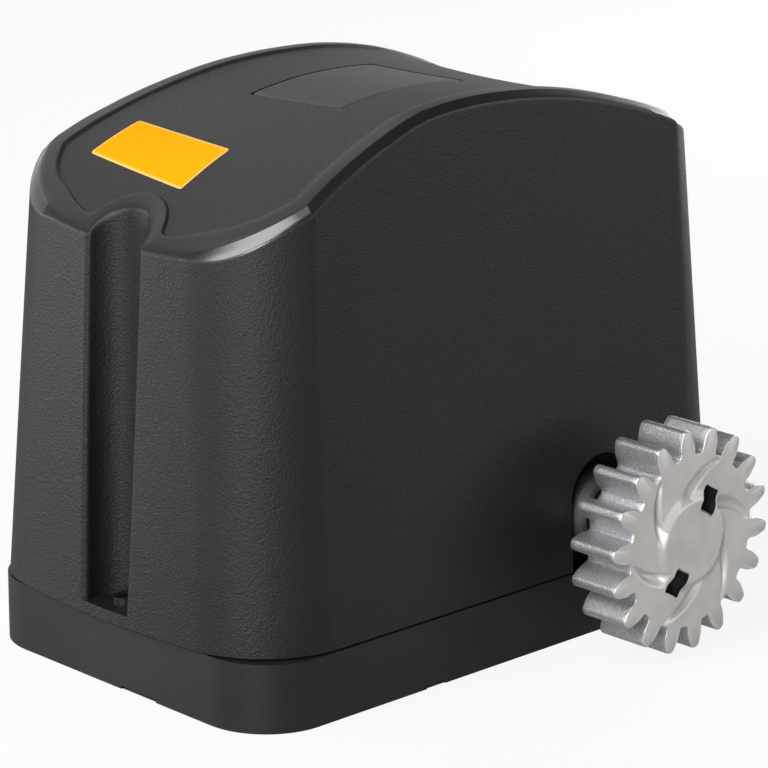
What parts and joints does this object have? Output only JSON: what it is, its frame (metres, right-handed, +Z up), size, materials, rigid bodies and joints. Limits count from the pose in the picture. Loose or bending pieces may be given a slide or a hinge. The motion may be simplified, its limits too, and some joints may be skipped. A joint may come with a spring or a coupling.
{
  "type": "sliding gate motor",
  "caption": "Sliding gate motor: drafted charcoal hood with an arched roof and end grooves over a base tray, worm gearbox and induction motor inside, rack pinion outside.",
  "frame": {"origin": "centre of the base tray's underside", "axes": "+X along the tray, which is the gate's travel; the pinion faces -Y, where the gate runs; +Z up"},
  "size_m": [0.2472, 0.1895, 0.1973],
  "materials": {
    "tray_plastic": "moulded, fine texture",
    "black_rubber": "matt",
    "hood_plastic": "moulded, satin spark texture",
    "badge_plastic": "smooth satin",
    "label_film": "printed film",
    "dark_steel": "blackened",
    "cast_alloy": "as cast, granular",
    "ground_steel": "ground",
    "gear_bronze": "machined bronze",
    "cast_aluminium": "die cast",
    "plated_steel": "zinc plated",
    "motor_paint": "satin enamel",
    "lamination_steel": "stacked sheet",
    "enamelled_copper": "varnished copper",
    "capacitor_can": "moulded can",
    "carrier_plastic": "moulded",
    "board_laminate": "solder resist",
    "relay_plastic": "moulded",
    "terminal_plastic": "moulded",
    "transformer_core": "taped winding",
    "chip_plastic": "moulded",
    "fuse_body": "clear cover",
    "button_plastic": "moulded"
  },
  "bodies": {
    "base_unit": {"base_tray": "tray_plastic", "cable_grommet": "black_rubber", "oil_seal": "black_rubber", "shaft_bearings": "ground_steel", "rotor_bearings": "ground_steel", "gearbox_housing": "cast_aluminium", "gearbox_lid": "cast_aluminium", "end_shield": "cast_aluminium", "lid_bolts": "plated_steel", "gearbox_bolts": "plated_steel", "tunnel_cap": "plated_steel", "tie_rods": "plated_steel", "capacitor_strap": "plated_steel", "board_screws": "plated_steel", "sensor_bracket": "plated_steel", "motor_frame": "motor_paint", "stator_stack": "lamination_steel", "stator_windings": "enamelled_copper", "start_capacitor": "capacitor_can", "board_carrier": "carrier_plastic", "control_board": "board_laminate", "relays": "relay_plastic", "terminal_blocks": "terminal_plastic", "board_transformer": "transformer_core", "board_chips": "chip_plastic", "button_housings": "chip_plastic", "limit_sensor": "chip_plastic", "fuses": "fuse_body"},
    "cover": {"cover_shell": "hood_plastic", "badge_plate": "badge_plastic", "blank_label": "label_film", "cover_screws": "dark_steel"},
    "output": {"pinion": "cast_alloy", "output_shaft": "ground_steel", "shaft_keys": "ground_steel", "worm_wheel": "gear_bronze"},
    "rotor": {"worm_shaft": "ground_steel", "rotor_core": "lamination_steel"},
    "release": {"release_spindle": "plated_steel"},
    "learn": {"learn_button": "button_plastic"},
    "test": {"test_button": "button_plastic"}
  },
  "joints": [
    {"name": "cover_lift", "type": "slide", "parent": "base_unit", "child": "cover", "axis": [0, 0, 1], "range_m": [0, 0.24]},
    {"name": "rotor_spin", "type": "hinge", "parent": "base_unit", "child": "rotor", "pos_m": [0.0435, -0.02, 0.0805], "axis": [1, 0, 0], "continuous": true},
    {"name": "output_spin", "type": "hinge", "parent": "base_unit", "child": "output", "pos_m": [0.0435, -0.104, 0.0425], "axis": [0, -1, 0], "continuous": true},
    {"name": "release_turn", "type": "hinge", "parent": "base_unit", "child": "release", "pos_m": [0.0435, 0.05, 0.0425], "axis": [0, 1, 0], "range_deg": [0, 90]},
    {"name": "learn_press", "type": "slide", "parent": "base_unit", "child": "learn", "axis": [0, -1, 0], "range_m": [0, 0.0003], "stiffness_N_per_m": 1200},
    {"name": "test_press", "type": "slide", "parent": "base_unit", "child": "test", "axis": [0, -1, 0], "range_m": [0, 0.0003], "stiffness_N_per_m": 1200}
  ],
  "couplings": [
    {"joint": "output_spin", "follows": "rotor_spin", "ratio": 0.027778}
  ]
}
